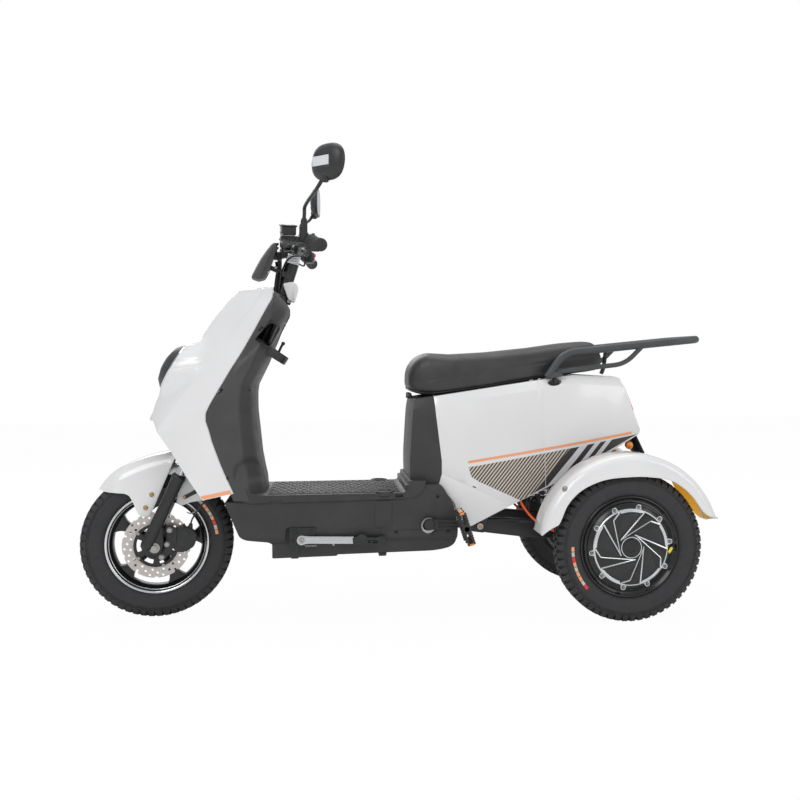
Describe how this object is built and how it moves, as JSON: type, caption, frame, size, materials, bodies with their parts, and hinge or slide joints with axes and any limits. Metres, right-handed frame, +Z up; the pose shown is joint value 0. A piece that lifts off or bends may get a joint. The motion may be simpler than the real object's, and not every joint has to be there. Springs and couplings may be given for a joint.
{
  "type": "three-wheel electric scooter",
  "caption": "Three-wheel electric scooter with a step-through floor, hinged seat over a storage bucket, tubular carrier, pedals and a folding side stand.",
  "frame": {"origin": "on the ground below the centre of the whole outline", "axes": "+X to the rear of the vehicle, +Y to the rider's right, +Z up"},
  "size_m": [1.7758, 0.8854, 1.2888],
  "materials": {
    "white_paint": "glossy moulded fairing",
    "black_plastic": "fine grained moulding",
    "frame_black": "satin powder coat",
    "tyre_rubber": "matt rubber",
    "soft_rubber": "matt rubber",
    "seat_vinyl": "grained vinyl",
    "bright_metal": "polished",
    "disc_steel": "ground steel",
    "cast_alloy": "cast and turned",
    "clear_lens": "smoked lens",
    "red_lens": "red lens",
    "mirror_glass": "polished",
    "cable_orange": "smooth sheath"
  },
  "bodies": {
    "chassis": {"bag_hook": "black_plastic", "battery_pack": "black_plastic", "belly_cowl": "black_plastic", "fender_stays": "frame_black", "floor_board": "black_plastic", "floor_mat": "soft_rubber", "front_apron": "white_paint", "headlamp": "clear_lens", "leg_shield": "black_plastic", "lower_panels": "white_paint", "main_frame": "frame_black", "motor_cable_left": "cable_orange", "motor_cable_right": "cable_orange", "plate_bracket": "frame_black", "rear_fender_left": "white_paint", "rear_fender_right": "white_paint", "rear_rack": "frame_black", "rear_shocks": "frame_black", "seat_box_front": "black_plastic", "seat_hinge": "frame_black", "side_panel_left": "white_paint", "side_panel_right": "white_paint", "stand_bracket": "frame_black", "storage_bucket": "black_plastic", "swing_arm": "frame_black", "tail_lamp": "red_lens", "tail_panel": "white_paint"},
    "steering": {"fork_lowers": "frame_black", "fork_crown": "bright_metal", "steering_stem": "frame_black", "handlebar": "frame_black", "grips": "soft_rubber", "switch_housings": "black_plastic", "brake_levers": "frame_black", "mirror_left": "black_plastic", "mirror_right": "black_plastic", "display_pod": "black_plastic", "front_fender": "white_paint", "brake_caliper": "frame_black", "mirror_glasses": "mirror_glass", "stem_cover": "white_paint"},
    "front_wheel": {"front_tyre": "tyre_rubber", "front_rim": "frame_black", "brake_disc": "disc_steel"},
    "rear_wheel_left": {"rear_tyre_left": "tyre_rubber", "hub_motor_left": "cast_alloy"},
    "rear_wheel_right": {"rear_tyre_right": "tyre_rubber", "hub_motor_right": "cast_alloy"},
    "crank": {"crank_set": "frame_black"},
    "pedal_left": {"pedal_left": "black_plastic"},
    "pedal_right": {"pedal_right": "black_plastic"},
    "side_stand": {"side_stand": "cast_alloy"},
    "seat": {"seat_base": "black_plastic", "seat_cushion": "seat_vinyl"}
  },
  "joints": [
    {"name": "steering", "type": "hinge", "parent": "chassis", "child": "steering", "pos_m": [-0.42673, 0, 0.7], "axis": [0.4115, 0, 0.9114], "range_deg": [-37.7, 32.3]},
    {"name": "front_wheel_spin", "type": "hinge", "parent": "steering", "child": "front_wheel", "pos_m": [-0.68007, -0.00133, 0.20749], "axis": [-0.0429, 0.9989, 0.0194], "continuous": true},
    {"name": "rear_left_spin", "type": "hinge", "parent": "chassis", "child": "rear_wheel_left", "pos_m": [0.6189, -0.2665, 0.2075], "axis": [0, 1, 0], "continuous": true},
    {"name": "rear_right_spin", "type": "hinge", "parent": "chassis", "child": "rear_wheel_right", "pos_m": [0.6189, 0.2665, 0.2075], "axis": [0, 1, 0], "continuous": true},
    {"name": "crank_spin", "type": "hinge", "parent": "chassis", "child": "crank", "pos_m": [0.0749, 0, 0.263], "axis": [0, 1, 0], "continuous": true},
    {"name": "pedal_left_spin", "type": "hinge", "parent": "crank", "child": "pedal_left", "pos_m": [0.1679, -0.22, 0.263], "axis": [0, 1, 0], "continuous": true},
    {"name": "pedal_right_spin", "type": "hinge", "parent": "crank", "child": "pedal_right", "pos_m": [-0.0181, 0.22, 0.263], "axis": [0, 1, 0], "continuous": true},
    {"name": "stand_fold", "type": "hinge", "parent": "chassis", "child": "side_stand", "pos_m": [-0.2761, -0.165, 0.229], "axis": [0, 1, 0], "range_deg": [0, 66]},
    {"name": "seat_lid", "type": "hinge", "parent": "chassis", "child": "seat", "pos_m": [0.0319, 0, 0.62101], "axis": [0, -1, 0], "range_deg": [0, 65]}
  ]
}
